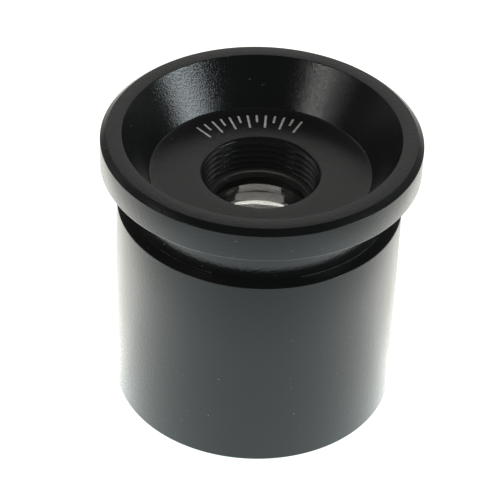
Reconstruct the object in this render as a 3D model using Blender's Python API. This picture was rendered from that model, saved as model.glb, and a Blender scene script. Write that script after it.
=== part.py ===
"""A wide-field eyepiece with a 30.5 mm barrel, as the turned pieces that it comes apart into.

Run it with: blender --background --python part.py

The optical axis is the Z axis. The barrel stands on z = 0, and the eye looks in from above. Almost
every piece is turned, so each is an outline of (radius, height) points spun round the axis. An
outline is given from its piece's own datum plane, and the piece is placed by its height. Screw
threads are plain cylinders at their pitch radius here.
"""

import math

import bmesh
import bpy
from mathutils import Matrix, Vector

MM = 0.001
SIDES = 48  # facets round the axis, the same on every piece so that nested pieces line up
LENS_STEPS = 4  # chords from the axis to the rim of a lens surface

# Driving dimensions: the barrel is the standard 30.5 mm, and the rest follows from it.
BARREL_RADIUS = 15.25 * MM
BARREL_TOP = 23.8 * MM
HEIGHT = 32.4 * MM
FIT_GAP = 0.1 * MM  # between pieces that screw or slide into each other
LENS_GAP = 0.05 * MM  # between a lens and what holds it
THREAD_DEPTH = 0.4 * MM

# Eyecup head: flange, conical bowl, neck, and a spigot that screws into the barrel.
FLANGE_RADIUS = 17.05 * MM
FLANGE_BOTTOM = 28.75 * MM
RIM_CHAMFER = 0.65 * MM
RIM_CHAMFER_DROP = 0.55 * MM
RIM_INNER_RADIUS = 14.78 * MM
EDGE_BREAK = 0.15 * MM
BOWL_FLOOR = 27.4 * MM
BOWL_FLOOR_RADIUS = 11.85 * MM
NECK_RADIUS = 13.95 * MM
SPIGOT_RADIUS = 12.95 * MM
SPIGOT_LENGTH = 4.0 * MM
SPIGOT_WALL = 1.6 * MM
WEB_THICKNESS = 2.6 * MM
BOSS_RADIUS = 8.5 * MM
BOSS_END = 17.0 * MM
WELL_RADIUS = 6.15 * MM
WELL_EDGE = 0.2 * MM

# Barrel: a plain tube with a thread at each end and a shoulder for the field stop.
BARREL_BORE = 12.85 * MM
BARREL_THREAD_DEPTH = 4.8 * MM
STOP_SHOULDER = 5.2 * MM
STOP_THREAD_RADIUS = 13.6 * MM

# Field stop and the ring that clamps it.
STOP_APERTURE = 5.0 * MM
STOP_EDGE = 0.15 * MM
STOP_THICKNESS = 0.8 * MM
STOP_DISC_RADIUS = 13.3 * MM
STOP_RING_BORE = 11.5 * MM
STOP_RING_THICKNESS = 1.8 * MM

# Lens cell: a threaded tube with a lip at the eye end, a wider skirt below the boss.
CELL_TOP = 23.7 * MM
CELL_END = 12.0 * MM
CELL_SKIRT_RADIUS = 7.2 * MM
LIP_BORE = 5.2 * MM
LIP_CHAMFER = 0.25 * MM
LENS_SEAT_DROP = 0.16 * MM  # rim of a lens below the lip that its crowned face nearly touches
LENS_RADIUS = 5.45 * MM
SPACER_BORE = 4.9 * MM
FIELD_RING_THICKNESS = 1.6 * MM

# Two cemented doublets of 23 mm focal length, crown to crown, which make 12.5 mm together.
OUTER_CURVE = 30.4 * MM
CEMENTED_CURVE = 11.8 * MM
INNER_CURVE = 14.0 * MM
EYE_RIM = 22.7 * MM
FLINT_EDGE = 2.06 * MM
CROWN_EDGE = 0.9 * MM
CROWN_SEPARATION = 0.5 * MM  # between the two crowns on the axis

# Spanner slots, cut in pairs across the end of a ring.
SLOT_WIDTH = 1.0 * MM
SLOT_DEPTH = 0.8 * MM

SPIGOT_END = BARREL_TOP + FIT_GAP - SPIGOT_LENGTH
RIM_OUTER_RADIUS = FLANGE_RADIUS - RIM_CHAMFER
CELL_THREAD_RADIUS = WELL_RADIUS - FIT_GAP
CELL_BORE = LENS_RADIUS + FIT_GAP
LIP_UNDERSIDE = EYE_RIM + LENS_SEAT_DROP


def clear_scene():
    for obj in list(bpy.data.objects):
        bpy.data.objects.remove(obj, do_unlink=True)


def finish(name, colour, roughness, metallic, transmission=0.0):
    """A Principled material of one colour."""
    material = bpy.data.materials.new(name)
    material.use_nodes = True
    shader = material.node_tree.nodes["Principled BSDF"]
    shader.inputs["Base Color"].default_value = (*colour, 1.0)
    shader.inputs["Roughness"].default_value = roughness
    shader.inputs["Metallic"].default_value = metallic
    shader.inputs["Transmission Weight"].default_value = transmission
    material.diffuse_color = (*colour, 1.0)
    return material


def body(name):
    """An empty on the optical axis, where every joint turns or slides."""
    empty = bpy.data.objects.new(name, None)
    bpy.context.scene.collection.objects.link(empty)
    return empty


def new_object(name, mesh, parent, material, height=0.0):
    obj = bpy.data.objects.new(name, mesh)
    bpy.context.scene.collection.objects.link(obj)
    obj.parent = parent
    obj.location = (0.0, 0.0, height)
    mesh.materials.append(material)
    return obj


def turned(name, outline, parent, material, height=0.0):
    """A closed outline of (radius, height) points, spun a full turn round the axis."""
    shape = bmesh.new()
    points = [shape.verts.new((radius, 0.0, z)) for radius, z in outline]
    edges = [shape.edges.new(pair) for pair in zip(points, points[1:] + points[:1])]
    bmesh.ops.spin(
        shape,
        geom=points + edges,
        cent=(0.0, 0.0, 0.0),
        axis=(0.0, 0.0, 1.0),
        angle=2 * math.pi,
        steps=SIDES,
        use_merge=True,
    )
    bmesh.ops.remove_doubles(shape, verts=shape.verts[:], dist=0.001 * MM)
    loose = [edge for edge in shape.edges if not edge.link_faces]
    bmesh.ops.delete(shape, geom=loose, context="EDGES")
    bmesh.ops.recalc_face_normals(shape, faces=shape.faces[:])
    mesh = bpy.data.meshes.new(name)
    shape.to_mesh(mesh)
    shape.free()
    mesh.shade_smooth()
    mesh.set_sharp_from_angle(angle=math.radians(25))
    return new_object(name, mesh, parent, material, height)


def sag(curve, radius):
    """How far a sphere of radius `curve` falls away from its pole at a distance `radius` off the axis."""
    return curve - math.sqrt(curve * curve - radius * radius)


def lens_face(rim_z, curve, bulge):
    """Points of a spherical face from the axis to the rim. bulge is +1 where it rises towards the axis."""
    rim_sag = sag(curve, LENS_RADIUS)
    points = []
    for step in range(LENS_STEPS + 1):
        radius = LENS_RADIUS * step / LENS_STEPS
        points.append((radius, rim_z + bulge * (rim_sag - sag(curve, radius))))
    return points


def lens(name, upper, lower, parent, material):
    """A lens between two faces, each given from the axis to the rim."""
    return turned(name, upper + lower[::-1], parent, material)


def cut_slots(ring, end_z, inner_radius, outer_radius, turn=0.0):
    """Cuts a pair of opposite spanner slots up into the lower end of a ring."""
    overshoot = 0.5 * MM
    length = outer_radius - inner_radius + 2 * overshoot
    middle = (inner_radius + outer_radius) / 2
    shape = bmesh.new()
    for side in (1, -1):
        place = (
            Matrix.Rotation(turn, 4, "Z")
            @ Matrix.Translation(Vector((side * middle, 0.0, end_z)))
            @ Matrix.Diagonal(Vector((length, SLOT_WIDTH, 2 * SLOT_DEPTH, 1.0)))
        )
        bmesh.ops.create_cube(shape, size=1.0, matrix=place)
    mesh = bpy.data.meshes.new(ring.name + "_slot_cutter")
    shape.to_mesh(mesh)
    shape.free()
    cutter = bpy.data.objects.new(mesh.name, mesh)
    bpy.context.scene.collection.objects.link(cutter)
    cutter.parent = ring
    cutter.hide_render = True
    cutter.display_type = "WIRE"
    boolean = ring.modifiers.new("spanner_slots", "BOOLEAN")
    boolean.operation = "DIFFERENCE"
    boolean.solver = "EXACT"
    boolean.object = cutter


def make_barrel(parent, material):
    """Outer tube that slides into the microscope's or telescope's eye tube."""
    thread_end = BARREL_TOP - BARREL_THREAD_DEPTH
    thread_radius = SPIGOT_RADIUS + FIT_GAP
    outline = [
        (thread_radius, BARREL_TOP),
        (BARREL_RADIUS - EDGE_BREAK, BARREL_TOP),
        (BARREL_RADIUS, BARREL_TOP - EDGE_BREAK),
        (BARREL_RADIUS, 2 * EDGE_BREAK),
        (BARREL_RADIUS - 2 * EDGE_BREAK, 0.0),
        (STOP_THREAD_RADIUS + EDGE_BREAK, 0.0),
        (STOP_THREAD_RADIUS, EDGE_BREAK),
        (STOP_THREAD_RADIUS, STOP_SHOULDER),
        (BARREL_BORE, STOP_SHOULDER),
        (BARREL_BORE, thread_end),
        (thread_radius, thread_end),
    ]
    return turned("barrel", outline, parent, material)


def make_eyecup_head(parent, material):
    """Flange, bowl, neck and spigot in one turned piece, with the threaded well for the lens cell."""
    outline = [
        (RIM_INNER_RADIUS, HEIGHT),
        (RIM_OUTER_RADIUS, HEIGHT),
        (FLANGE_RADIUS, HEIGHT - RIM_CHAMFER_DROP),
        (FLANGE_RADIUS, FLANGE_BOTTOM + EDGE_BREAK),
        (FLANGE_RADIUS - EDGE_BREAK, FLANGE_BOTTOM),
        (NECK_RADIUS, FLANGE_BOTTOM),
        (NECK_RADIUS, BARREL_TOP + FIT_GAP),
        (SPIGOT_RADIUS, BARREL_TOP + FIT_GAP),
        (SPIGOT_RADIUS, SPIGOT_END + THREAD_DEPTH),
        (SPIGOT_RADIUS - THREAD_DEPTH, SPIGOT_END),
        (SPIGOT_RADIUS - SPIGOT_WALL, SPIGOT_END),
        (SPIGOT_RADIUS - SPIGOT_WALL, BOWL_FLOOR - WEB_THICKNESS),
        (BOSS_RADIUS, BOWL_FLOOR - WEB_THICKNESS),
        (BOSS_RADIUS, BOSS_END),
        (WELL_RADIUS, BOSS_END),
        (WELL_RADIUS, BOWL_FLOOR - WELL_EDGE),
        (WELL_RADIUS + WELL_EDGE, BOWL_FLOOR),
        (BOWL_FLOOR_RADIUS, BOWL_FLOOR),
    ]
    return turned("eyecup_head", outline, parent, material)


def make_lens_cell(parent, material):
    """Threaded tube that holds both doublets against its lip, screwed up into the head from below."""
    skirt_top = BOSS_END - FIT_GAP
    outline = [
        (LIP_BORE + LIP_CHAMFER, CELL_TOP),
        (CELL_THREAD_RADIUS, CELL_TOP),
        (CELL_THREAD_RADIUS, skirt_top),
        (CELL_SKIRT_RADIUS, skirt_top),
        (CELL_SKIRT_RADIUS, CELL_END),
        (CELL_BORE, CELL_END),
        (CELL_BORE, LIP_UNDERSIDE),
        (LIP_BORE, LIP_UNDERSIDE),
        (LIP_BORE, CELL_TOP - LIP_CHAMFER),
    ]
    cell = turned("lens_cell", outline, parent, material)
    cut_slots(cell, CELL_END, CELL_BORE, CELL_SKIRT_RADIUS)
    return cell


def make_field_retaining_ring(top_z, parent, material):
    """Threaded ring in the lower end of the cell that clamps the lens stack."""
    outline = [
        (SPACER_BORE, 0.0),
        (LENS_RADIUS, 0.0),
        (LENS_RADIUS, -FIELD_RING_THICKNESS),
        (SPACER_BORE + EDGE_BREAK, -FIELD_RING_THICKNESS),
        (SPACER_BORE, EDGE_BREAK - FIELD_RING_THICKNESS),
    ]
    ring = turned("field_retaining_ring", outline, parent, material, top_z)
    cut_slots(ring, -FIELD_RING_THICKNESS, SPACER_BORE, LENS_RADIUS, turn=math.pi / 2)
    return ring


def make_lens_stack(parent, glass, black):
    """Two cemented doublets and their spacer. Returns the height of the lowest lens rim."""
    flint_low = EYE_RIM - FLINT_EDGE
    crown_high = flint_low - LENS_GAP
    crown_low = crown_high - CROWN_EDGE
    crown_pole = crown_low - sag(INNER_CURVE, LENS_RADIUS)
    middle = crown_pole - CROWN_SEPARATION / 2

    def mirrored(face):
        return [(radius, 2 * middle - z) for radius, z in face]

    flint_faces = [lens_face(EYE_RIM, OUTER_CURVE, 1), lens_face(flint_low, CEMENTED_CURVE, 1)]
    crown_faces = [lens_face(crown_high, CEMENTED_CURVE, 1), lens_face(crown_low, INNER_CURVE, -1)]
    lens("eye_flint", *flint_faces, parent, glass)
    lens("eye_crown", *crown_faces, parent, glass)
    lens("field_crown", *[mirrored(face) for face in crown_faces[::-1]], parent, glass)
    lens("field_flint", *[mirrored(face) for face in flint_faces[::-1]], parent, glass)

    rim_end = crown_low - LENS_GAP
    bore_end = crown_pole + sag(INNER_CURVE, SPACER_BORE) - LENS_GAP
    upper_end = [(SPACER_BORE, bore_end), (LENS_RADIUS, rim_end)]
    turned("lens_spacer", upper_end + mirrored(upper_end)[::-1], parent, black)
    return 2 * middle - EYE_RIM


def make_field_stop(disc_parent, ring_parent, material):
    """Diaphragm against the barrel's shoulder, and the threaded ring that clamps it from below."""
    disc_top = STOP_SHOULDER - FIT_GAP
    disc_outline = [
        (STOP_APERTURE, 0.0),
        (STOP_DISC_RADIUS, 0.0),
        (STOP_DISC_RADIUS, -STOP_THICKNESS),
        (STOP_APERTURE + STOP_THICKNESS - STOP_EDGE, -STOP_THICKNESS),
        (STOP_APERTURE, -STOP_EDGE),
    ]
    turned("field_stop_disc", disc_outline, disc_parent, material, disc_top)

    ring_top = disc_top - STOP_THICKNESS - FIT_GAP
    ring_radius = STOP_THREAD_RADIUS - FIT_GAP
    ring_outline = [
        (STOP_RING_BORE, 0.0),
        (ring_radius, 0.0),
        (ring_radius, -STOP_RING_THICKNESS),
        (STOP_RING_BORE + EDGE_BREAK, -STOP_RING_THICKNESS),
        (STOP_RING_BORE, EDGE_BREAK - STOP_RING_THICKNESS),
    ]
    ring = turned("stop_retaining_ring", ring_outline, ring_parent, material, ring_top)
    cut_slots(ring, -STOP_RING_THICKNESS, STOP_RING_BORE, ring_radius)


def main():
    clear_scene()
    satin_black = finish("satin_black_anodised", (0.018, 0.019, 0.020), 0.32, 0.0)
    matt_black = finish("matt_black_anodised", (0.012, 0.012, 0.013), 0.6, 0.0)
    glass = finish("coated_glass", (0.92, 0.96, 0.94), 0.02, 0.0, transmission=1.0)

    barrel_body = body("barrel_body")
    optics_body = body("optics_body")
    head_body = body("head_body")
    stop_disc_body = body("stop_disc_body")
    stop_ring_body = body("stop_ring_body")

    make_barrel(barrel_body, satin_black)
    make_eyecup_head(head_body, satin_black)
    make_lens_cell(head_body, matt_black)
    lowest_rim = make_lens_stack(optics_body, glass, matt_black)
    make_field_retaining_ring(lowest_rim - LENS_SEAT_DROP, head_body, matt_black)
    make_field_stop(stop_disc_body, stop_ring_body, matt_black)


main()
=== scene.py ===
"""Looks of the eyepiece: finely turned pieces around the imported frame, with a floor, lights and a camera.

Every piece but the index marks stands for one CAD node. Most are turned: a row of (radius, height)
points spun round the Z axis, which is the optical axis. Screw threads are real helices here.
Lengths are in metres, and the camera looks towards +Y.
"""

import math

import bmesh
import bpy
from mathutils import Matrix, Vector


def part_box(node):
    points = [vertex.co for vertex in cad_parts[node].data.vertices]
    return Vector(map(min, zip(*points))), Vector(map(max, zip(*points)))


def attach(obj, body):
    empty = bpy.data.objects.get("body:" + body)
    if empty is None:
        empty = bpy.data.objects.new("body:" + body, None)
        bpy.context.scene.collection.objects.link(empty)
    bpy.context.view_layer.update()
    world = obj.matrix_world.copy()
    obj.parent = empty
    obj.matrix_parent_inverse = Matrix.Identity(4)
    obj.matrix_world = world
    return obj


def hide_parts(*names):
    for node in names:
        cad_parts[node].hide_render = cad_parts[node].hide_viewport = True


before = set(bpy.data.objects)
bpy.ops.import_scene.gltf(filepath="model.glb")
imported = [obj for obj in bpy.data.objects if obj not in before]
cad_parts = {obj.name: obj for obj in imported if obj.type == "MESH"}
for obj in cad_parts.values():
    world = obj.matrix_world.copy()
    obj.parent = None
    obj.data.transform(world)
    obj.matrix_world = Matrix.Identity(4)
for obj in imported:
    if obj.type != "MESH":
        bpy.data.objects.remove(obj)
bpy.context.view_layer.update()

MM = 0.001
SIDES = 224  # facets round the axis
ARC_STEPS = 5  # chords in a rounded edge
THREAD_ROWS = 16  # rings in each turn of a thread


# ---- Sizes, read from the frame where it gives them ----


def radius_of(node):
    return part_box(node)[1][0]


def top_of(node):
    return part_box(node)[1][2]


def bottom_of(node):
    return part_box(node)[0][2]


HEIGHT = top_of("eyecup_head")
FLANGE_RADIUS = radius_of("eyecup_head")
SPIGOT_END = bottom_of("eyecup_head")
FLANGE_BOTTOM = 28.75 * MM
RIM_CHAMFER = 0.65 * MM
RIM_CHAMFER_DROP = 0.55 * MM
RIM_INNER_RADIUS = 14.78 * MM
BOWL_FLOOR = 27.4 * MM
BOWL_FLOOR_RADIUS = 11.85 * MM
NECK_RADIUS = 13.95 * MM
SPIGOT_BORE = 11.35 * MM
WEB_UNDERSIDE = 24.8 * MM
BOSS_RADIUS = 8.5 * MM
BOSS_END = 17.0 * MM

BARREL_RADIUS = radius_of("barrel")
BARREL_TOP = top_of("barrel")
BARREL_BORE = 12.85 * MM
BARREL_THREAD_DEPTH = 4.8 * MM
STOP_SHOULDER = 5.2 * MM
# The worn band along an edge is partly wear and partly a painted highlight line.
WEAR_AND_HIGHLIGHT_REACH = 0.08 * MM  # how far the wear reaches from an edge
SEAM = 0.06 * MM  # open gap between the head's neck and the top of the barrel

# Threads, each by the radius of its groove. They all have the same pitch and ridge.
PITCH = 0.75 * MM
RIDGE = 0.36 * MM
RUN_OUT = 0.3 * MM  # plain length at the end of a thread
THREAD_STEEPNESS = 0.72  # 0.5 gives a sharp V, and more gives flats at crest and root
HEAD_GROOVE = 12.72 * MM
BARREL_GROOVE = 13.27 * MM
STOP_GROOVE = 13.27 * MM
STOP_BARREL_GROOVE = 13.82 * MM
WELL_GROOVE = 6.3 * MM
WELL_EDGE_RADIUS = 6.44 * MM
CELL_GROOVE = 5.87 * MM

# Index marks on the far side of the bowl's floor
MARK_COUNT = 13
MARK_MIDDLE = math.radians(99.5)  # from the X axis, so the row lies a little left of the middle
MARK_SPREAD = math.radians(67)
MARK_OUTER_RADIUS = 10.5 * MM
MARK_LONG = 2.4 * MM
MARK_SHORT = 1.4 * MM
MARK_WIDTH = 0.26 * MM
MARK_END_STEPS = 8  # chords in a mark's round end
MARK_DEPTH = 0.12 * MM
PAINT_SUNK = 0.03 * MM  # how far the paint lies below the floor

CELL_TOP = top_of("lens_cell")
CELL_END = bottom_of("lens_cell")
CELL_SKIRT_RADIUS = radius_of("lens_cell")
CELL_BORE = 5.55 * MM
LIP_BORE = 5.2 * MM
LIP_THICKNESS = 0.84 * MM
SPACER_BORE = 4.9 * MM
LIP_CHAMFER = 0.12 * MM

LENS_RADIUS = radius_of("eye_flint")
LENS_STEPS = 24  # chords from the axis to the rim of a lens
OUTER_CURVE = 30.4 * MM
CEMENTED_CURVE = 11.8 * MM
INNER_CURVE = 14.0 * MM

STOP_APERTURE = 5.0 * MM
STOP_EDGE = 0.15 * MM
STOP_RING_BORE = 11.5 * MM

SLOT_WIDTH = 1.0 * MM
SLOT_DEPTH = 0.8 * MM


# ---- Outlines ----


def rounded(corners):
    """Open outline from (radius, height, fillet) corners. Its two end corners stay sharp."""
    points = []
    for index, (radius, height, fillet) in enumerate(corners):
        here = Vector((radius, height))
        if fillet == 0 or index in (0, len(corners) - 1):
            points.append(here)
            continue
        back = (Vector(corners[index - 1][:2]) - here).normalized()
        ahead = (Vector(corners[index + 1][:2]) - here).normalized()
        half = back.angle(ahead) / 2
        centre = here + (back + ahead).normalized() * fillet / math.sin(half)
        start = here + back * fillet / math.tan(half) - centre
        turn = math.copysign(math.pi - 2 * half, back.cross(ahead))
        for step in range(ARC_STEPS + 1):
            points.append(centre + Matrix.Rotation(-turn * step / ARC_STEPS, 2) @ start)
    return [(point.x, point.y, 0.0) for point in points]


def thread(groove, outward, start, end):
    """Rings of a helical thread between two heights. Its ridge stands outward (1) or inward (-1)."""
    count = math.ceil(abs(end - start) / PITCH * THREAD_ROWS)
    rings = []
    for step in range(count + 1):
        height = start + (end - start) * step / count
        inside = min(abs(height - start), abs(height - end))
        rings.append((groove, height, outward * RIDGE * min(1.0, 2 * inside / PITCH)))
    return rings


def ridge_share(height, turn, outward):
    """How much of its ridge a thread has at a height and a turn. Outer and inner threads mesh."""
    turns = (height - BOWL_FLOOR) / PITCH - turn
    if outward:
        turns += 0.5
    slope = abs(turns % 1.0 - 0.5) * 4 - 1
    return min(1.0, max(0.0, 0.5 + THREAD_STEEPNESS * slope))


def sag(curve, radius):
    return curve - math.sqrt(curve * curve - radius * radius)


def lens_face(rim_height, curve, bulge):
    """A spherical face from the axis to the rim. bulge is +1 where it rises towards the axis."""
    rim_sag = sag(curve, LENS_RADIUS)
    rings = []
    for step in range(LENS_STEPS + 1):
        radius = LENS_RADIUS * step / LENS_STEPS
        rings.append((radius, rim_height + bulge * (rim_sag - sag(curve, radius)), 0.0))
    return rings


# ---- Meshes ----


def place(name, mesh, material, body, node=None):
    """Links a mesh as a piece that rides on a body and may stand for a CAD node."""
    piece = bpy.data.objects.new(name, mesh)
    bpy.context.scene.collection.objects.link(piece)
    mesh.materials.append(material)
    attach(piece, body)
    if node:
        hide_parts(node)
    return piece


def turned_mesh(name, rings, closed=True):
    """Spins rings of (radius, height, ridge) round the axis. A ring on the axis is one point."""
    vertices = []
    rows = []
    for radius, height, ridge in rings:
        row = []
        on_axis = abs(radius) < 1e-9
        for side in range(1 if on_axis else SIDES):
            turn = side / SIDES
            angle = 2 * math.pi * turn
            reach = radius + ridge * ridge_share(height, turn, ridge > 0) if ridge else radius
            row.append(len(vertices))
            vertices.append((reach * math.cos(angle), reach * math.sin(angle), height))
        rows.append(row)
    pairs = list(zip(rows, rows[1:]))
    if closed:
        pairs.append((rows[-1], rows[0]))
    faces = []
    for upper, lower in pairs:
        for side in range(SIDES):
            other = (side + 1) % SIDES
            if len(upper) == 1:
                faces.append((upper[0], lower[side], lower[other]))
            elif len(lower) == 1:
                faces.append((upper[side], lower[0], upper[other]))
            else:
                faces.append((upper[side], lower[side], lower[other], upper[other]))
    mesh = bpy.data.meshes.new(name)
    mesh.from_pydata(vertices, [], faces)
    return face_out(mesh)


def face_out(mesh):
    shape = bmesh.new()
    shape.from_mesh(mesh)
    bmesh.ops.recalc_face_normals(shape, faces=shape.faces[:])
    shape.to_mesh(mesh)
    shape.free()
    mesh.shade_smooth()
    mesh.set_sharp_from_angle(angle=math.radians(32))
    return mesh


def wear_and_highlight_edge(mesh, radius, height, clear=0.0):
    """Thins the anodising next to a turned edge and so paints a light highlight line along it, except where
    it is nearer than clear to the YZ plane.
    """
    if WORN_EDGE_HIGHLIGHT.name not in mesh.materials:
        mesh.materials.append(WORN_EDGE_HIGHLIGHT)
    index = mesh.materials.find(WORN_EDGE_HIGHLIGHT.name)
    for face in mesh.polygons:
        across = math.hypot(face.center.x, face.center.y) - radius
        near = math.hypot(across, face.center.z - height) < WEAR_AND_HIGHLIGHT_REACH
        if near and abs(face.center.x) >= clear:
            face.material_index = index


def carve(mesh, cutter):
    """The first mesh less the second, as a new mesh."""
    solid = bpy.data.objects.new(mesh.name, mesh)
    tool = bpy.data.objects.new(mesh.name + "_cutter", cutter)
    for item in (solid, tool):
        bpy.context.scene.collection.objects.link(item)
    boolean = solid.modifiers.new("carve", "BOOLEAN")
    boolean.object = tool
    boolean.solver = "EXACT"
    bpy.context.view_layer.update()
    evaluated = solid.evaluated_get(bpy.context.evaluated_depsgraph_get())
    carved = bpy.data.meshes.new_from_object(evaluated)
    carved.name = mesh.name + "_carved"
    for item in (solid, tool):
        bpy.data.objects.remove(item, do_unlink=True)
    return face_out(carved)


def slot_cutter(end, inner_radius, outer_radius, turn):
    """Two opposite blocks that cut spanner slots up into the lower end of a ring."""
    overshoot = 0.5 * MM
    length = outer_radius - inner_radius + 2 * overshoot
    shape = bmesh.new()
    for side in (1, -1):
        middle = side * (inner_radius + outer_radius) / 2
        frame_of_block = (
            Matrix.Rotation(turn, 4, "Z")
            @ Matrix.Translation(Vector((middle, 0.0, end)))
            @ Matrix.Diagonal(Vector((length, SLOT_WIDTH, 2 * SLOT_DEPTH, 1.0)))
        )
        bmesh.ops.create_cube(shape, size=1.0, matrix=frame_of_block)
    mesh = bpy.data.meshes.new("slots")
    shape.to_mesh(mesh)
    shape.free()
    return mesh


def mark_bars(low, high):
    """Round-ended radial bars of the index marks, between two heights."""
    shape = bmesh.new()
    for index in range(MARK_COUNT):
        turn = MARK_MIDDLE + MARK_SPREAD * (index / (MARK_COUNT - 1) - 0.5)
        length = MARK_LONG if index % 2 == 0 else MARK_SHORT
        outline = []
        outer_end = MARK_OUTER_RADIUS - MARK_WIDTH / 2
        inner_end = MARK_OUTER_RADIUS - length + MARK_WIDTH / 2
        for half_turn, middle in enumerate((outer_end, inner_end)):
            for step in range(MARK_END_STEPS + 1):
                angle = math.pi * (half_turn + step / MARK_END_STEPS) - math.pi / 2
                reach = middle + MARK_WIDTH / 2 * math.cos(angle)
                aside = MARK_WIDTH / 2 * math.sin(angle)
                outline.append((
                    reach * math.cos(turn) - aside * math.sin(turn),
                    reach * math.sin(turn) + aside * math.cos(turn),
                ))
        rows = [[shape.verts.new((x, y, height)) for x, y in outline] for height in (low, high)]
        shape.faces.new(rows[0][::-1])
        shape.faces.new(rows[1])
        for side in range(len(outline)):
            other = (side + 1) % len(outline)
            shape.faces.new((rows[0][side], rows[0][other], rows[1][other], rows[1][side]))
    mesh = bpy.data.meshes.new("index_marks")
    shape.to_mesh(mesh)
    shape.free()
    return mesh


# ---- Materials ----


# The anodising's gloss, from the finest marks to the widest
LINE_WIDTH = 0.22 * MM  # of the lathe's cuts
LINE_DEPTH = 0.0012 * MM
LINE_CLIMB = 1.37  # the height's share in counting the cuts, next to the radius
GRAIN_SIZE = 0.16 * MM
GRAIN_DEPTH = 0.026 * MM
GRAIN_STRETCH = (1.0, 1.0, 0.6)
GLOSS_SCALE = 220.0  # of slow changes in the roughness, in cells per metre
GLOSS_SPREAD = 0.2  # how far the roughness strays from its mean, as a share of it
CLOUD_SHARE = 0.6  # of those slow changes in the roughness. The rest comes from the lathe's cuts.
OXIDE_INDEX = 1.38
# Painted glow: the black parts emit a faint light, which stands in for the veil of light that a white
# surround throws over them.
VEIL_GLOW = 0.003  # the faint veil of light that a white surround throws over black parts
VEIL_GLOW_COLOUR = (1.0, 1.0, 0.95)

DUST_SCALE = 900.0  # cells per metre, with no more than one speck in each
DUST_CORE = 0.03  # radius of a speck's full colour, in cells
DUST_EDGE = 0.08  # radius at which a speck ends, in cells
DUST_COLOUR = (0.15, 0.15, 0.147)

# The worn edges' light grey colours are partly thin anodising and partly a painted highlight on the edge.
WEAR_SCALE = 260.0  # patches per metre
WEAR_HIGHLIGHT_LEAST = (0.2, 0.2, 0.2)
WEAR_HIGHLIGHT_MOST = (0.45, 0.45, 0.44)
PAINT_SCALE = 1500.0  # patches per metre
PAINT_THIN = 0.55  # share of its colour where the paint is thin
GLASS_INDEX = 1.6  # the same in both glasses, so that light crosses the cement unbent


def new_material(name, colour):
    material = bpy.data.materials.new(name)
    material.use_nodes = True
    material.diffuse_color = (*colour, 1.0)
    shader = material.node_tree.nodes["Principled BSDF"]
    shader.inputs["Base Color"].default_value = (*colour, 1.0)
    return material, material.node_tree, shader


def add_node(tree, kind, **settings):
    made = tree.nodes.new(kind)
    for key, value in settings.items():
        setattr(made, key, value)
    return made


def math_node(tree, operation, *values):
    made = add_node(tree, "ShaderNodeMath", operation=operation)
    for socket, value in zip(made.inputs, values):
        if isinstance(value, bpy.types.NodeSocket):
            tree.links.new(value, socket)
        else:
            socket.default_value = value
    return made.outputs[0]


def vector_node(tree, operation, vector):
    made = add_node(tree, "ShaderNodeVectorMath", operation=operation)
    tree.links.new(vector, made.inputs[0])
    return made


def object_place(tree):
    """Where a point lies on its own piece."""
    return add_node(tree, "ShaderNodeTexCoord").outputs["Object"]


def split_place(tree, vector):
    made = add_node(tree, "ShaderNodeSeparateXYZ")
    tree.links.new(vector, made.inputs[0])
    return made.outputs


def noise(tree, vector, scale, detail):
    made = add_node(tree, "ShaderNodeTexNoise")
    tree.links.new(vector, made.inputs["Vector"])
    made.inputs["Scale"].default_value = scale
    made.inputs["Detail"].default_value = detail
    return made.outputs["Fac"]


def mapped(tree, value, low, high, start=0.0, end=1.0):
    """A value that goes from low to high as the given one goes from start to end."""
    made = add_node(tree, "ShaderNodeMapRange", clamp=True)
    tree.links.new(value, made.inputs["Value"])
    made.inputs["From Min"].default_value = start
    made.inputs["From Max"].default_value = end
    made.inputs["To Min"].default_value = low
    made.inputs["To Max"].default_value = high
    return made.outputs["Result"]


def blend(tree, share, first, second):
    """A colour that goes from the first to the second with share."""
    made = add_node(tree, "ShaderNodeMix", data_type="RGBA")
    tree.links.new(share, made.inputs["Factor"])
    made.inputs["A"].default_value = (*first, 1.0)
    made.inputs["B"].default_value = (*second, 1.0)
    return made.outputs["Result"]


def turning_marks(tree, place_out):
    """A value that varies across the cuts of the lathe: with the radius and with the height."""
    x, y, z = split_place(tree, place_out)
    across = math_node(tree, "POWER", x, 2.0)
    along = math_node(tree, "POWER", y, 2.0)
    radius = math_node(tree, "SQRT", math_node(tree, "ADD", across, along))
    climb = math_node(tree, "MULTIPLY", z, LINE_CLIMB)
    lines = add_node(tree, "ShaderNodeTexNoise", noise_dimensions="1D")
    tree.links.new(math_node(tree, "ADD", radius, climb), lines.inputs["W"])
    lines.inputs["Scale"].default_value = 1 / LINE_WIDTH
    lines.inputs["Detail"].default_value = 2.0
    return lines.outputs["Fac"]


def dust_specks(tree, place_out, amount):
    """1 on small round specks and 0 elsewhere. A larger amount, up to 1, puts specks in more cells."""
    cells = add_node(tree, "ShaderNodeTexVoronoi", feature="F1")
    tree.links.new(place_out, cells.inputs["Vector"])
    cells.inputs["Scale"].default_value = DUST_SCALE
    speck = mapped(tree, cells.outputs["Distance"], 1.0, 0.0, DUST_CORE, DUST_EDGE)
    chosen = math_node(tree, "GREATER_THAN", cells.outputs["Color"], 1.0 - amount)
    return math_node(tree, "MULTIPLY", speck, chosen)


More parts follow.
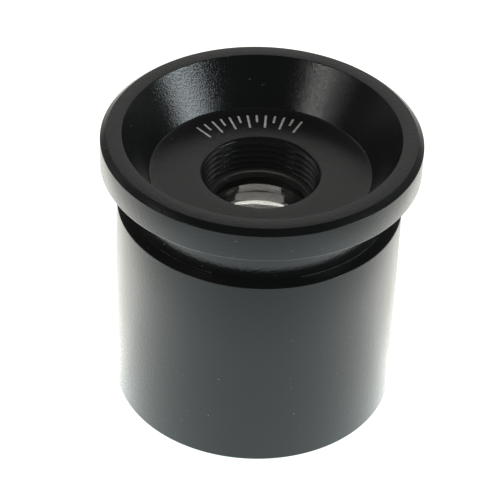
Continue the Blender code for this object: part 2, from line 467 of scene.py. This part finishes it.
def anodised(name, colour, roughness, anisotropy, speck_amount):
    """Black anodised aluminium as it comes off the lathe, with a little dust and a faint painted glow."""
    material, tree, shader = new_material(name, colour)
    place_out = object_place(tree)
    lines = turning_marks(tree, place_out)
    stretch = vector_node(tree, "MULTIPLY", place_out)
    stretch.inputs[1].default_value = GRAIN_STRETCH
    grain = noise(tree, stretch.outputs["Vector"], 1 / GRAIN_SIZE, 2.0)

    normal = None
    for height, depth in ((grain, GRAIN_DEPTH), (lines, LINE_DEPTH)):
        bump = add_node(tree, "ShaderNodeBump")
        bump.inputs["Distance"].default_value = depth
        bump.inputs["Strength"].default_value = 1.0
        tree.links.new(height, bump.inputs["Height"])
        if normal:
            tree.links.new(normal, bump.inputs["Normal"])
        normal = bump.outputs["Normal"]
    tree.links.new(normal, shader.inputs["Normal"])

    tangent = add_node(tree, "ShaderNodeTangent", direction_type="RADIAL", axis="Z")
    tree.links.new(tangent.outputs["Tangent"], shader.inputs["Tangent"])
    shader.inputs["Anisotropic"].default_value = anisotropy
    shader.inputs["IOR"].default_value = OXIDE_INDEX
    # painted glow that lifts the blacks
    shader.inputs["Emission Color"].default_value = (*VEIL_GLOW_COLOUR, 1.0)
    shader.inputs["Emission Strength"].default_value = VEIL_GLOW

    cloud = noise(tree, place_out, GLOSS_SCALE, 4.0)
    cuts = math_node(tree, "MULTIPLY", lines, 1 - CLOUD_SHARE)
    uneven = math_node(tree, "MULTIPLY_ADD", cloud, CLOUD_SHARE, cuts)
    low, high = roughness * (1 - GLOSS_SPREAD), roughness * (1 + GLOSS_SPREAD)
    tree.links.new(mapped(tree, uneven, low, high), shader.inputs["Roughness"])

    dust = dust_specks(tree, place_out, speck_amount)
    tree.links.new(blend(tree, dust, colour, DUST_COLOUR), shader.inputs["Base Color"])
    return material


def worn_edge_with_highlight(name, roughness):
    """Anodising rubbed thin along an edge, more in some places than in others. Its light grey is partly
    wear and partly a painted highlight.
    """
    material, tree, shader = new_material(name, WEAR_HIGHLIGHT_LEAST)
    patches = noise(tree, object_place(tree), WEAR_SCALE, 3.0)
    rubbed = mapped(tree, patches, 0.0, 1.0, 0.35, 0.65)
    tree.links.new(blend(tree, rubbed, WEAR_HIGHLIGHT_LEAST, WEAR_HIGHLIGHT_MOST), shader.inputs["Base Color"])
    shader.inputs["Roughness"].default_value = roughness
    return material


def paint(name, colour, roughness):
    """Matt paint rubbed into the marks, a little uneven."""
    material, tree, shader = new_material(name, colour)
    cloud = noise(tree, object_place(tree), PAINT_SCALE, 3.0)
    cover = mapped(tree, cloud, -0.2, 1.4)
    thin = [part * PAINT_THIN for part in colour]
    tree.links.new(blend(tree, cover, thin, colour), shader.inputs["Base Color"])
    shader.inputs["Roughness"].default_value = roughness
    return material


def cement(name):
    """The joint between two glasses: nothing to be seen."""
    material, tree, shader = new_material(name, (1.0, 1.0, 1.0))
    shader.inputs["Alpha"].default_value = 0.0
    shader.inputs["Specular IOR Level"].default_value = 0.0
    return material


def glass(name, colour, index):
    material, tree, shader = new_material(name, colour)
    shader.inputs["Transmission Weight"].default_value = 1.0
    shader.inputs["Roughness"].default_value = 0.0
    shader.inputs["IOR"].default_value = index
    return material


SATIN = anodised(
    "satin_black_anodised", (0.0030, 0.0038, 0.0040), roughness=0.17, anisotropy=0.3, speck_amount=0.4
)
MATT = anodised(
    "matt_black_anodised", (0.0030, 0.0032, 0.0032), roughness=0.4, anisotropy=0.2, speck_amount=0.02
)
# Edge wear, which also serves as a painted highlight along the edges.
WORN_EDGE_HIGHLIGHT = worn_edge_with_highlight("thin_anodising_and_painted_highlight", roughness=0.35)
PAINT = paint("white_paint", (0.95, 0.94, 0.90), roughness=0.6)
CROWN_GLASS = glass("crown_glass", (0.99, 0.99, 0.97), GLASS_INDEX)
FLINT_GLASS = glass("flint_glass", (0.99, 0.985, 0.96), GLASS_INDEX)
CEMENT = cement("clear_cement")
BLACKENED = paint("blackened_edge", (0.004, 0.004, 0.004), roughness=0.7)
UNDER_CEILING = bpy.data.collections.new("under_ceiling")  # what the ceiling panels light
OUTER_PIECES = bpy.data.collections.new("outer_pieces")  # what the high light on the left lights


# ---- Pieces ----

# A corner's third number is its fillet. The tenths of a millimetre left bare in the outlines are fillets,
# chamfers and the lengths in which a thread begins and ends.


def make_barrel():
    thread_end = BARREL_TOP - BARREL_THREAD_DEPTH
    rings = rounded([
        (BARREL_GROOVE, BARREL_TOP - 0.25 * MM, 0),
        (BARREL_GROOVE + 0.15 * MM, BARREL_TOP, 0.03 * MM),
        (BARREL_RADIUS, BARREL_TOP, 0.12 * MM),
        (BARREL_RADIUS, 0.0, 0.28 * MM),
        (STOP_BARREL_GROOVE + 0.1 * MM, 0.0, 0.05 * MM),
        (STOP_BARREL_GROOVE, 0.2 * MM, 0),
    ])
    rings += thread(STOP_BARREL_GROOVE, -1, 0.25 * MM, STOP_SHOULDER - RUN_OUT)
    rings += rounded([
        (STOP_BARREL_GROOVE, STOP_SHOULDER, 0),
        (BARREL_BORE, STOP_SHOULDER, 0.08 * MM),
        (BARREL_BORE, thread_end, 0.05 * MM),
        (BARREL_GROOVE, thread_end, 0),
    ])
    rings += thread(BARREL_GROOVE, -1, thread_end + RUN_OUT, BARREL_TOP - RUN_OUT)
    mesh = turned_mesh("barrel_shell", rings)
    piece = place("barrel_shell", mesh, SATIN, "barrel", "barrel")
    OUTER_PIECES.objects.link(piece)


def make_eyecup_head():
    neck_end = BARREL_TOP + SEAM
    rings = rounded([
        (BOWL_FLOOR_RADIUS - 1.0 * MM, BOWL_FLOOR, 0),
        (BOWL_FLOOR_RADIUS, BOWL_FLOOR, 0.25 * MM),
        (RIM_INNER_RADIUS, HEIGHT, 0.1 * MM),
        (FLANGE_RADIUS - RIM_CHAMFER, HEIGHT, 0.08 * MM),
        (FLANGE_RADIUS, HEIGHT - RIM_CHAMFER_DROP, 0.12 * MM),
        (FLANGE_RADIUS, FLANGE_BOTTOM, 0.15 * MM),
        (NECK_RADIUS, FLANGE_BOTTOM, 0.12 * MM),
        (NECK_RADIUS, neck_end, 0.06 * MM),
        (HEAD_GROOVE, neck_end, 0),
    ])
    rings += thread(HEAD_GROOVE, 1, BARREL_TOP - 0.6 * MM, SPIGOT_END + 0.35 * MM)
    rings += rounded([
        (HEAD_GROOVE, SPIGOT_END + 0.3 * MM, 0),
        (HEAD_GROOVE - 0.3 * MM, SPIGOT_END, 0.04 * MM),
        (SPIGOT_BORE, SPIGOT_END, 0.08 * MM),
        (SPIGOT_BORE, WEB_UNDERSIDE, 0.4 * MM),
        (BOSS_RADIUS, WEB_UNDERSIDE, 0.4 * MM),
        (BOSS_RADIUS, BOSS_END, 0.12 * MM),
        (WELL_GROOVE + 0.1 * MM, BOSS_END, 0),
    ])
    rings += thread(WELL_GROOVE, -1, BOSS_END + 0.1 * MM, BOWL_FLOOR - 0.1 * MM)
    rings += rounded([
        (WELL_GROOVE, BOWL_FLOOR - 0.09 * MM, 0),
        (WELL_EDGE_RADIUS, BOWL_FLOOR, 0.03 * MM),
        (WELL_GROOVE + 1.0 * MM, BOWL_FLOOR, 0),
    ])
    mesh = turned_mesh("eyecup_shell", rings)
    mesh = carve(mesh, mark_bars(BOWL_FLOOR - MARK_DEPTH, BOWL_FLOOR + MARK_DEPTH))
    piece = place("eyecup_shell", mesh, SATIN, "head", "eyecup_head")
    OUTER_PIECES.objects.link(piece)
    # Painted highlight lines with the wear: along the flange's lower edge, and along the neck's end only at
    # the sides, where the lights glint. There is none across the front and back.
    wear_and_highlight_edge(mesh, FLANGE_RADIUS, FLANGE_BOTTOM)
    wear_and_highlight_edge(mesh, NECK_RADIUS, neck_end, clear=NECK_RADIUS / 3)


def make_index_marks():
    mesh = mark_bars(BOWL_FLOOR - MARK_DEPTH, BOWL_FLOOR - PAINT_SUNK)
    piece = place("index_marks", face_out(mesh), PAINT, "head")
    OUTER_PIECES.objects.link(piece)


def make_lens_cell():
    skirt_top = BOSS_END - 0.1 * MM
    lip_underside = CELL_TOP - LIP_THICKNESS
    rings = rounded([
        (LIP_BORE, CELL_TOP - LIP_CHAMFER - 0.02 * MM, 0),
        (LIP_BORE + LIP_CHAMFER, CELL_TOP, 0.04 * MM),
        (CELL_GROOVE, CELL_TOP, 0.04 * MM),
        (CELL_GROOVE, CELL_TOP - 0.1 * MM, 0),
    ])
    rings += thread(CELL_GROOVE, 1, CELL_TOP - 0.15 * MM, skirt_top + RUN_OUT)
    rings += rounded([
        (CELL_GROOVE, skirt_top, 0),
        (CELL_SKIRT_RADIUS, skirt_top, 0.1 * MM),
        (CELL_SKIRT_RADIUS, CELL_END, 0.12 * MM),
        (CELL_BORE, CELL_END, 0.08 * MM),
        (CELL_BORE, lip_underside, 0),
        (LIP_BORE, lip_underside, 0),
    ])
    mesh = turned_mesh("cell_tube", rings)
    mesh = carve(mesh, slot_cutter(CELL_END, CELL_BORE, CELL_SKIRT_RADIUS, 0.0))
    piece = place("cell_tube", mesh, MATT, "head", "lens_cell")
    UNDER_CEILING.objects.link(piece)


def make_field_retaining_ring():
    top = top_of("field_retaining_ring")
    end = bottom_of("field_retaining_ring")
    rings = rounded([
        (SPACER_BORE, (top + end) / 2, 0),
        (SPACER_BORE, top, 0.06 * MM),
        (LENS_RADIUS, top, 0.1 * MM),
        (LENS_RADIUS, end, 0.1 * MM),
        (SPACER_BORE, end, 0.12 * MM),
        (SPACER_BORE, (top + end) / 2 - 0.1 * MM, 0),
    ])
    mesh = turned_mesh("clamp_ring", rings)
    mesh = carve(mesh, slot_cutter(end, SPACER_BORE, LENS_RADIUS, math.pi / 2))
    place("clamp_ring", mesh, MATT, "head", "field_retaining_ring")


def make_lenses():
    flint_rim = top_of("eye_flint") - sag(OUTER_CURVE, LENS_RADIUS)
    flint_low = bottom_of("eye_flint")
    crown_high = top_of("eye_crown") - sag(CEMENTED_CURVE, LENS_RADIUS)
    crown_low = bottom_of("eye_crown") + sag(INNER_CURVE, LENS_RADIUS)
    middle = (bottom_of("eye_crown") + top_of("field_crown")) / 2

    def mirrored(face):
        return [(radius, 2 * middle - height, ridge) for radius, height, ridge in face]

    flint = [lens_face(flint_rim, OUTER_CURVE, 1), lens_face(flint_low, CEMENTED_CURVE, 1)]
    crown = [lens_face(crown_high, CEMENTED_CURVE, 1), lens_face(crown_low, INNER_CURVE, -1)]
    face_count = LENS_STEPS * SIDES
    for cad_node, faces, material, cemented_above in (
        ("eye_flint", flint, FLINT_GLASS, False),
        ("eye_crown", crown, CROWN_GLASS, True),
        ("field_crown", [mirrored(face) for face in crown[::-1]], CROWN_GLASS, False),
        ("field_flint", [mirrored(face) for face in flint[::-1]], FLINT_GLASS, True),
    ):
        upper, lower = faces
        mesh = turned_mesh(cad_node + "_glass", upper + lower[::-1], closed=False)
        piece = place(cad_node + "_glass", mesh, material, "optics", cad_node)
        UNDER_CEILING.objects.link(piece)
        mesh.materials.append(CEMENT)
        mesh.materials.append(BLACKENED)
        cemented = mesh.polygons[:face_count] if cemented_above else mesh.polygons[-face_count:]
        for face in cemented:
            face.material_index = mesh.materials.find(CEMENT.name)
        for face in mesh.polygons[face_count:-face_count]:
            face.material_index = mesh.materials.find(BLACKENED.name)


def make_lens_spacer():
    top = top_of("lens_spacer")
    end = bottom_of("lens_spacer")
    drop = sag(INNER_CURVE, LENS_RADIUS) - sag(INNER_CURVE, SPACER_BORE)
    rings = rounded([
        (SPACER_BORE, top - drop, 0),
        (LENS_RADIUS, top, 0.03 * MM),
        (LENS_RADIUS, end, 0.03 * MM),
        (SPACER_BORE, end + drop, 0),
    ])
    mesh = turned_mesh("spacer_ring", rings)
    place("spacer_ring", mesh, MATT, "optics", "lens_spacer")


def make_field_stop():
    top = top_of("field_stop_disc")
    end = bottom_of("field_stop_disc")
    radius = radius_of("field_stop_disc")
    rings = rounded([
        (STOP_APERTURE, top, 0),
        (radius, top, 0.06 * MM),
        (radius, end, 0.06 * MM),
        (STOP_APERTURE + top - end - STOP_EDGE, end, 0.05 * MM),
        (STOP_APERTURE, top - STOP_EDGE, 0),
    ])
    mesh = turned_mesh("stop_plate", rings)
    place("stop_plate", mesh, MATT, "stop_plate", "field_stop_disc")


def make_stop_ring():
    top = top_of("stop_retaining_ring")
    end = bottom_of("stop_retaining_ring")
    rings = rounded([
        (STOP_RING_BORE, (top + end) / 2, 0),
        (STOP_RING_BORE, top, 0.08 * MM),
        (STOP_GROOVE, top, 0),
    ])
    rings += thread(STOP_GROOVE, 1, top - 0.05 * MM, end + 0.05 * MM)
    rings += rounded([
        (STOP_GROOVE, end, 0),
        (STOP_RING_BORE, end, 0.12 * MM),
        (STOP_RING_BORE, (top + end) / 2 - 0.1 * MM, 0),
    ])
    mesh = turned_mesh("stop_clamp_ring", rings)
    mesh = carve(mesh, slot_cutter(end, STOP_RING_BORE, STOP_BARREL_GROOVE, 0.0))
    place("stop_clamp_ring", mesh, MATT, "stop_ring", "stop_retaining_ring")


# ---- Floor, light and camera ----


FLOOR_RADIUS = 4.0
FLOOR_SIDES = 96
FLOOR_DROP = 0.02 * MM  # keeps the floor clear of the barrel's end
FLOOR_GREY = (0.2, 0.2, 0.2)
FLOOR_SEEN = 1.2  # how brightly the camera itself sees the floor
FLOOR_GLOW = 2.7  # how brightly the pieces see it, before the shares below
# Share of the glow by direction: from in front of the object (0) past its sides (0.5) to behind it (1). The
# low share behind it is a painted shadow of the object.
FLOOR_GLOW_ROUND = (
    (0.0, 1.0), (0.3, 1.1), (0.53, 1.1), (0.675, 0.88), (0.775, 0.72), (0.84, 0.47), (1.0, 0.38),
)
# Painted shade: the glow fades towards the camera, in front of the object.
FLOOR_GLOW_REACH = 72 * MM  # towards the camera the glow fades to 1/e over this distance
FLOOR_GLOW_LEAST = 0.3  # the share that is left at the end of that fade
# Painted light: the left of the floor glows more than the right.
FLOOR_LEAN = 0.05  # the share by which the glow is stronger on the left and weaker on the right
# Painted shade: the glow is dimmer close to the barrel.
FLOOR_OPEN = (0.82, 1.2)  # share of the glow at the barrel, and out where nothing shades the floor
FLOOR_OPEN_RADIUS = 35 * MM
# Painted shade: less glow far out on the left and right.
FLOOR_FLANK_GLOW = 0.64  # share of the glow left on the far flanks, which the flange reflects
FLOOR_FLANKS = (38 * MM, 52 * MM)  # where on the left and right that share begins and is reached
# Painted shadow: the glow ends under the barrel's end.
FLOOR_EDGE = 0.4 * MM  # the glow is gone this far in under the barrel
# Painted shade: the glow is cooler in front, where its painted shade lies, and warmer at the sides and
# behind.
FLOOR_COOL = (0.89, 1.0, 1.01)  # in front
FLOOR_WARM = (1.0, 1.0, 0.94)  # at the sides and behind


def painted_floor_shading(tree, place_out, around, side):
    """The shares of the glow at a point of the floor, each for one cause. They paint light and shade into
    the glow: the object's shadow, a fade towards the camera, more light on the left, and shade near and
    under the barrel and on the far flanks.
    """
    x, y, _ = split_place(tree, place_out)
    distance = vector_node(tree, "LENGTH", place_out).outputs["Value"]
    ramp = add_node(tree, "ShaderNodeValToRGB")
    tree.links.new(around, ramp.inputs["Fac"])
    stops = ramp.color_ramp.elements
    while len(stops) < len(FLOOR_GLOW_ROUND):
        stops.new(0.5)
    for stop, (where, share) in zip(stops, FLOOR_GLOW_ROUND):
        stop.position = where
        stop.color = (share, share, share, 1.0)
    nearer = math_node(tree, "MINIMUM", y, 0.0)
    fade = math_node(tree, "EXPONENT", math_node(tree, "DIVIDE", nearer, FLOOR_GLOW_REACH))
    return (
        ramp.outputs["Color"],
        math_node(tree, "MAXIMUM", fade, FLOOR_GLOW_LEAST),
        mapped(tree, side, 1 + FLOOR_LEAN, 1 - FLOOR_LEAN, -1.0, 1.0),
        mapped(tree, distance, *FLOOR_OPEN, BARREL_RADIUS, FLOOR_OPEN_RADIUS),
        mapped(tree, math_node(tree, "ABSOLUTE", x), 1.0, FLOOR_FLANK_GLOW, *FLOOR_FLANKS),
        mapped(tree, distance, 0.0, 1.0, BARREL_RADIUS - FLOOR_EDGE, BARREL_RADIUS),
    )


def make_floor():
    """A pale floor. It glows, so that the gloss of the pieces has something to reflect, and painted shade
    and light in its glow stand in for the lighting around the object.
    """
    mesh = bpy.data.meshes.new("floor")
    shape = bmesh.new()
    bmesh.ops.create_circle(shape, cap_ends=True, segments=FLOOR_SIDES, radius=FLOOR_RADIUS)
    shape.to_mesh(mesh)
    shape.free()
    floor = bpy.data.objects.new("floor", mesh)
    bpy.context.scene.collection.objects.link(floor)
    floor.location.z = -FLOOR_DROP
    material, tree, shader = new_material("floor_white", FLOOR_GREY)
    shader.inputs["Roughness"].default_value = 0.9
    shader.inputs["Specular IOR Level"].default_value = 0.0
    place_out = object_place(tree)
    direction = vector_node(tree, "NORMALIZE", place_out).outputs["Vector"]
    side, ahead, _ = split_place(tree, direction)
    around = mapped(tree, ahead, 0.0, 1.0, -1.0, 1.0)
    # painted shade: a cooler glow in front
    warmth = mapped(tree, around, 0.0, 1.0, 0.0, 0.6)
    tree.links.new(blend(tree, warmth, FLOOR_COOL, FLOOR_WARM), shader.inputs["Emission Color"])
    # the glow times each share, which paints shade and light into it
    glow = FLOOR_GLOW
    for share in painted_floor_shading(tree, place_out, around, side):
        glow = math_node(tree, "MULTIPLY", glow, share)
    path = add_node(tree, "ShaderNodeLightPath")
    seen = add_node(tree, "ShaderNodeMix", data_type="FLOAT")
    tree.links.new(path.outputs["Is Camera Ray"], seen.inputs["Factor"])
    tree.links.new(glow, seen.inputs["A"])
    seen.inputs["B"].default_value = FLOOR_SEEN
    tree.links.new(seen.outputs["Result"], shader.inputs["Emission Strength"])
    mesh.materials.append(material)


SOFTBOX_DISTANCE = 0.9
COOL = (0.88, 0.98, 1.02)
NEUTRAL = (0.98, 1.0, 0.96)
WARM = (1.0, 0.97, 0.92)
CEILING = 1.0  # height of the ceiling panels above the eyepiece
CEILING_WIDTH = 1.55
CEILING_PARTS = 5  # straight lengths that make a curved panel


def aim(thing, target):
    direction = Vector(target) - thing.location
    thing.rotation_mode = "QUATERNION"
    thing.rotation_quaternion = direction.to_track_quat("-Z", "Y")


def panel(name, offset, width, height, radiance):
    """An area light that faces the middle of the rim, offset from there."""
    lamp = bpy.data.lights.new(name, "AREA")
    lamp.shape = "RECTANGLE"
    lamp.size = width
    lamp.size_y = height
    lamp.energy = radiance * math.pi * width * height
    light = bpy.data.objects.new(name, lamp)
    bpy.context.scene.collection.objects.link(light)
    light.location = offset + Vector((0.0, 0.0, HEIGHT))
    aim(light, (0.0, 0.0, HEIGHT))
    return light


def softbox(name, azimuth, elevation, width, height, radiance, colour=NEUTRAL, receivers=None):
    """An area light that faces the object. Azimuth 0 is in front of it, 90 on its right.

    Without receivers it lights every piece.
    """
    turn, rise = math.radians(azimuth), math.radians(elevation)
    place_of_light = SOFTBOX_DISTANCE * Vector((
        math.cos(rise) * math.sin(turn),
        -math.cos(rise) * math.cos(turn),
        math.sin(rise),
    ))
    light = panel(name, place_of_light, width, height, radiance)
    light.data.color = colour
    if receivers:
        light.light_linking.receiver_collection = receivers


def ceiling_panel(name, front, back, bow, radiance):
    """A level light above the lenses and their cell, which alone receive it. Front is negative.

    It is curved, with its two ends further back than its middle by bow.
    """
    half = CEILING_WIDTH / 2
    for part in range(CEILING_PARTS):
        share = (2 * part + 1) / CEILING_PARTS - 1
        slope = math.atan(2 * bow * share / half)
        length = CEILING_WIDTH / CEILING_PARTS / math.cos(slope)
        offset = Vector((share * half, (front + back) / 2 + bow * share * share, CEILING))
        light = panel(name, offset, length, back - front, radiance)
        light.data.color = WARM
        light.rotation_quaternion = Matrix.Rotation(slope, 3, "Z").to_quaternion()
        light.light_linking.receiver_collection = UNDER_CEILING


def make_lights():
    # front, back, bow, radiance
    ceiling_panel("ceiling_front", -1.05, -0.36, 0.12, 2.5)
    ceiling_panel("ceiling_middle", -0.30, 0.05, 0.12, 2.5)
    ceiling_panel("ceiling_tube", 0.08, 0.23, 0.22, 16.0)
    # azimuth, elevation, width, height, radiance
    softbox("softbox_back", 174, 25, 0.65, 0.40, 0.79)
    softbox("softbox_back_left", -125, 42, 0.45, 0.3, 0.8)
    softbox("softbox_back_right", 125, 42, 0.45, 0.3, 0.9)
    softbox("softbox_right", 69, 18, 0.46, 0.24, 12.6, COOL)
    softbox("softbox_left", -48.5, 26, 0.125, 0.2, 12.2)
    softbox("softbox_left_edge", -65, 25, 0.14, 0.2, 2.4)
    softbox("softbox_high_left", -77, 37, 0.15, 0.15, 2.3, receivers=OUTER_PIECES)
    softbox("softbox_high_right", 77, 37, 0.2, 0.15, 0.7)
    softbox("softbox_side", -112, 19, 0.15, 0.15, 1.0)


WORLD_SEEN = (1.0, 1.0, 1.0)
WORLD_IN_FRONT = (0.04, 0.04, 0.042)
WORLD_BEHIND = (0.295, 0.30, 0.285)


def make_world():
    """Pale all round for the camera. What the gloss reflects is dim, and darkest in front."""
    world = bpy.data.worlds.new("studio")
    bpy.context.scene.world = world
    world.use_nodes = True
    tree = world.node_tree
    coordinates = add_node(tree, "ShaderNodeTexCoord")
    _, ahead, _ = split_place(tree, coordinates.outputs["Generated"])
    behind = mapped(tree, ahead, 0.0, 1.0, -0.3, 0.7)
    path = add_node(tree, "ShaderNodeLightPath")
    seen = add_node(tree, "ShaderNodeMix", data_type="RGBA")
    tree.links.new(path.outputs["Is Camera Ray"], seen.inputs["Factor"])
    tree.links.new(blend(tree, behind, WORLD_IN_FRONT, WORLD_BEHIND), seen.inputs["A"])
    seen.inputs["B"].default_value = (*WORLD_SEEN, 1.0)
    tree.links.new(seen.outputs["Result"], tree.nodes["Background"].inputs["Color"])


CAMERA_PLACE = Vector((0.0, -0.2203, 0.18906))
CAMERA_PITCH = math.radians(-38.02)
CAMERA_YAW = math.radians(0.212)
CAMERA_ROLL = math.radians(-2.29)
CAMERA_LENS = 185.4  # millimetres, on a 36 mm sensor


def make_camera():
    data = bpy.data.cameras.new("camera")
    data.lens = CAMERA_LENS
    data.sensor_width = 36.0
    data.clip_start = 0.01
    camera = bpy.data.objects.new("camera", data)
    bpy.context.scene.collection.objects.link(camera)
    ahead, right, up = Vector((0, 1, 0)), Vector((1, 0, 0)), Vector((0, 0, 1))
    spin = Matrix.Rotation(CAMERA_YAW, 3, up)
    ahead, right = spin @ ahead, spin @ right
    spin = Matrix.Rotation(CAMERA_PITCH, 3, right)
    ahead, up = spin @ ahead, spin @ up
    spin = Matrix.Rotation(CAMERA_ROLL, 3, ahead)
    right, up = spin @ right, spin @ up
    axes = Matrix((right, up, -ahead)).transposed()
    camera.matrix_world = Matrix.Translation(CAMERA_PLACE) @ axes.to_4x4()
    bpy.context.scene.camera = camera


make_barrel()
make_eyecup_head()
make_index_marks()
make_lens_cell()
make_field_retaining_ring()
make_lenses()
make_lens_spacer()
make_field_stop()
make_stop_ring()
make_floor()
make_world()
make_lights()
make_camera()
bpy.context.scene.view_settings.view_transform = "Standard"
